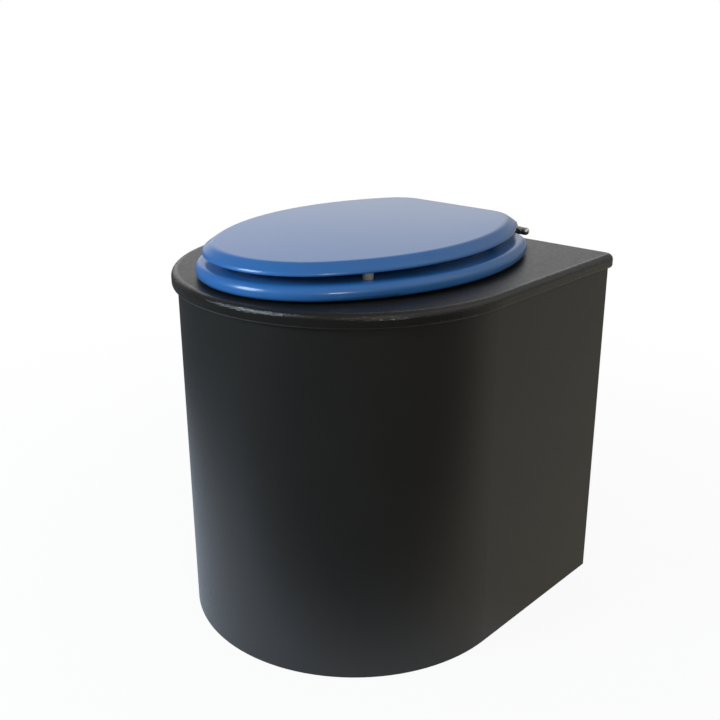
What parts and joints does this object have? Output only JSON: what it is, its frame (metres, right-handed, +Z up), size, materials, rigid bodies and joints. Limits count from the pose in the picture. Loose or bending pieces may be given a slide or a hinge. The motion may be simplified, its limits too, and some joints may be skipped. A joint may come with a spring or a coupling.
{
  "type": "dry toilet",
  "caption": "Dry toilet: black casing with a round front and flat back, lift-off deck, blue hinged seat and lid, and a lift-out bucket under the opening.",
  "frame": {"origin": "centre of the bounding box's underside, on the floor below the middle of the casing", "axes": "+X to the right of a person facing the front, +Y to the flat back, +Z up; the round front faces -Y"},
  "size_m": [0.454, 0.4829, 0.503],
  "materials": {
    "grained_board": "black board with a fine leather-like grain, satin",
    "raw_board": "untreated softwood and board",
    "blue_paint": "board painted blue, satin gloss",
    "hinge_metal": "polished plated metal",
    "screw_steel": "bright zinc plated",
    "stainless_sheet": "brushed stainless sheet",
    "bumper_rubber": "pale grey-beige rubber",
    "gasket_rubber": "black rubber",
    "grip_plastic": "black plastic"
  },
  "bodies": {
    "casing": {"casing_wall": "grained_board", "back_panel": "grained_board", "base_panel": "raw_board", "corner_post_left": "raw_board", "corner_post_right": "raw_board", "base_cleat_left": "raw_board", "base_cleat_right": "raw_board", "back_panel_screws": "screw_steel", "base_screws": "screw_steel", "bucket_stops": "raw_board"},
    "deck": {"deck_board": "grained_board", "deck_cleat_left": "raw_board", "deck_cleat_right": "raw_board", "deck_cleat_rear": "raw_board", "deck_cleat_front": "raw_board", "deck_cleat_screws": "screw_steel", "splash_guard": "stainless_sheet", "guard_screws": "screw_steel", "hinge_pillar_left": "hinge_metal", "hinge_pillar_right": "hinge_metal", "hinge_gaskets": "gasket_rubber", "hinge_washers": "screw_steel", "hinge_wing_nuts": "screw_steel", "hinge_pin_left": "hinge_metal", "hinge_pin_right": "hinge_metal", "hinge_pin_caps": "hinge_metal"},
    "seat": {"seat_ring": "blue_paint", "seat_bumpers": "bumper_rubber", "seat_bracket_left": "hinge_metal", "seat_bracket_right": "hinge_metal", "seat_bracket_screws": "screw_steel"},
    "lid": {"lid_panel": "blue_paint", "lid_bumpers": "bumper_rubber", "lid_bracket_left": "hinge_metal", "lid_bracket_right": "hinge_metal", "lid_bracket_screws": "screw_steel"},
    "bucket": {"bucket_shell": "stainless_sheet", "bucket_ear_left": "stainless_sheet", "bucket_ear_right": "stainless_sheet"},
    "bail": {"bucket_bail": "screw_steel", "bail_grip": "grip_plastic"}
  },
  "joints": [
    {"name": "deck_lift", "type": "slide", "parent": "casing", "child": "deck", "axis": [0, 0, 1], "range_m": [0, 0.7]},
    {"name": "seat_swing", "type": "hinge", "parent": "deck", "child": "seat", "pos_m": [0, 0.214, 0.476], "axis": [-1, 0, 0], "range_deg": [0, 55]},
    {"name": "lid_swing", "type": "hinge", "parent": "seat", "child": "lid", "pos_m": [0, 0.214, 0.476], "axis": [-1, 0, 0], "range_deg": [0, 93]},
    {"name": "bucket_lift", "type": "slide", "parent": "casing", "child": "bucket", "axis": [0, 0, 1], "range_m": [0, 0.45]},
    {"name": "bail_swing", "type": "hinge", "parent": "bucket", "child": "bail", "pos_m": [0, -0.017, 0.331], "axis": [1, 0, 0], "range_deg": [0, 124]}
  ],
  "couplings": [
    {"joint": "bucket_lift", "follows": "deck_lift", "ratio": 0.64286},
    {"joint": "bail_swing", "follows": "deck_lift", "rad_per_m": 3.0917}
  ]
}
